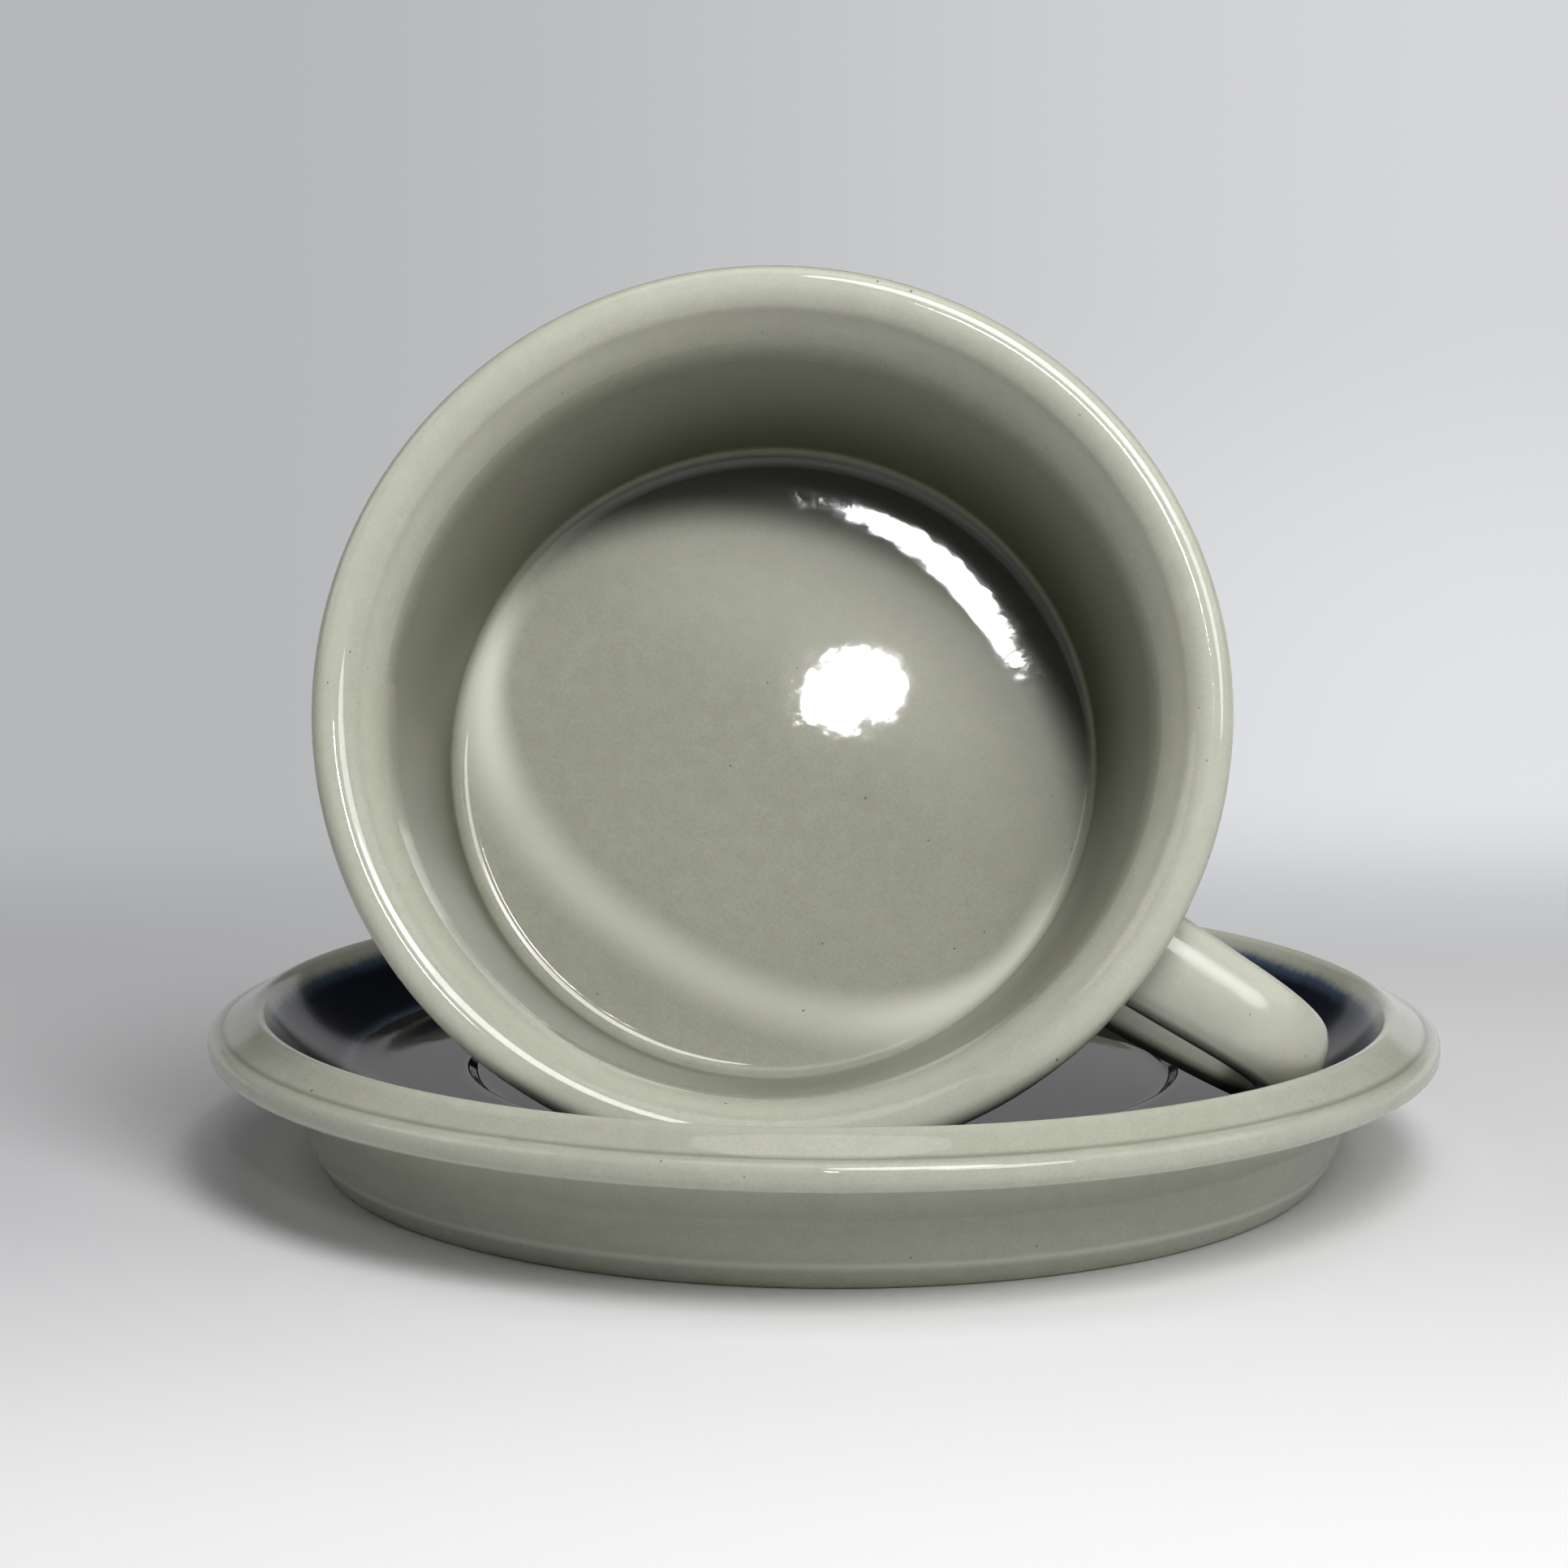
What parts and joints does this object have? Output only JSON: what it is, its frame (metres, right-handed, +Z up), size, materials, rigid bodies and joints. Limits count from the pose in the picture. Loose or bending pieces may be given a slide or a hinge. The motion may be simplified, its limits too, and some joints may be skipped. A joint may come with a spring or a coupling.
{
  "type": "cup and saucer",
  "caption": "Low straight-sided glazed stoneware cup with a strap handle, lying on its side in a matching saucer with a ridged rim, a cup well and a plain dark band.",
  "frame": {"origin": "middle of the saucer's foot ring, on the table that it stands on", "axes": "+Z up; the cup lies with its mouth towards -Y and its handle towards +X"},
  "size_m": [0.165, 0.165, 0.1182],
  "materials": {
    "saucer_glaze": "glossy grey-green glaze with fine iron specks and a plain dark blue band on the rim's inner slope",
    "cup_glaze": "glossy grey-green glaze with fine iron specks"
  },
  "bodies": {
    "saucer": {"saucer": "saucer_glaze"},
    "cup": {"cup_body": "cup_glaze", "cup_handle": "cup_glaze"}
  },
  "joints": [
    {"name": "cup_lift", "type": "slide", "parent": "saucer", "child": "cup", "axis": [0, 0, 1], "range_m": [0, 0.12]}
  ]
}
